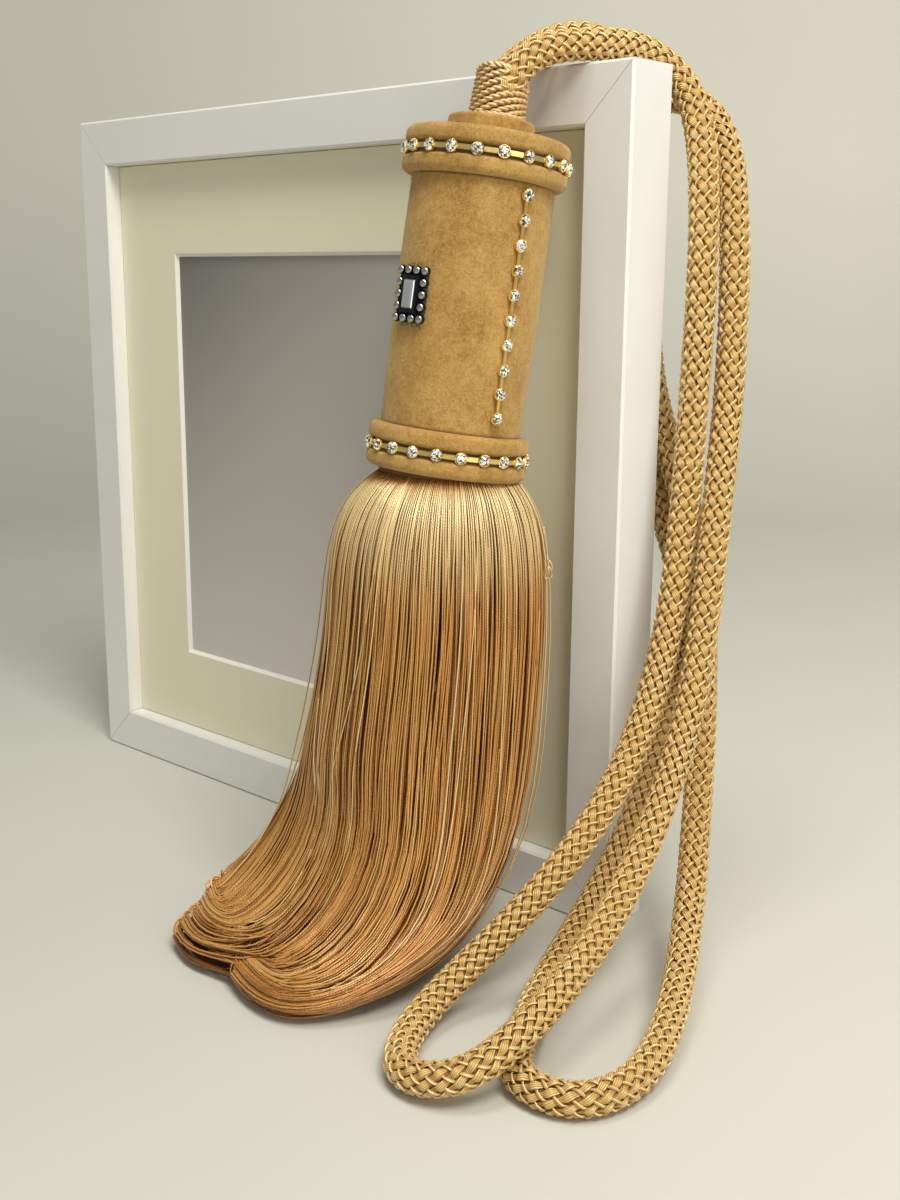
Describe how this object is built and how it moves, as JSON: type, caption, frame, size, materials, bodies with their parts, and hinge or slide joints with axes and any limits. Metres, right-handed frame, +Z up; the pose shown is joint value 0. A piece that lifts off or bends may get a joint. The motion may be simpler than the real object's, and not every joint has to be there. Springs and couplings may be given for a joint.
{
  "type": "curtain tieback tassel over a picture frame",
  "caption": "Curtain tieback tassel with a jewelled head, threaded skirt and braided rope, hung over a plain picture frame.",
  "frame": {"origin": "centre of the picture frame's underside, on the surface that the frame stands on", "axes": "+Z up, X along the frame's width, and the frame's front faces -Y"},
  "size_m": [0.3724, 0.1745, 0.3019],
  "materials": {
    "painted_wood": "white satin paint",
    "mat_board": "cream card, matte",
    "flocked_cloth": "old-gold flocked cloth with a short pile",
    "flocked_collar": "old-gold flocked cloth on turned collars",
    "gold_metal": "polished gold colour with clear crystals",
    "dark_setting": "dark polished setting with a grey stone",
    "whipping_cord": "fine twisted cord",
    "braided_rope": "soft gold braid of flat strands and thin cords",
    "skirt_thread": "twisted gold thread with a silk shine"
  },
  "bodies": {
    "root": {"frame_bottom": "painted_wood", "frame_top": "painted_wood", "frame_left": "painted_wood", "frame_right": "painted_wood", "mat_panel": "mat_board", "head_barrel": "flocked_cloth", "head_cap": "flocked_cloth", "collar_upper": "flocked_collar", "collar_lower": "flocked_collar", "chain_upper": "gold_metal", "chain_lower": "gold_metal", "chain_side": "gold_metal", "brooch": "dark_setting", "neck_whipping": "whipping_cord", "rope": "braided_rope", "skirt": "skirt_thread"}
  },
  "joints": []
}
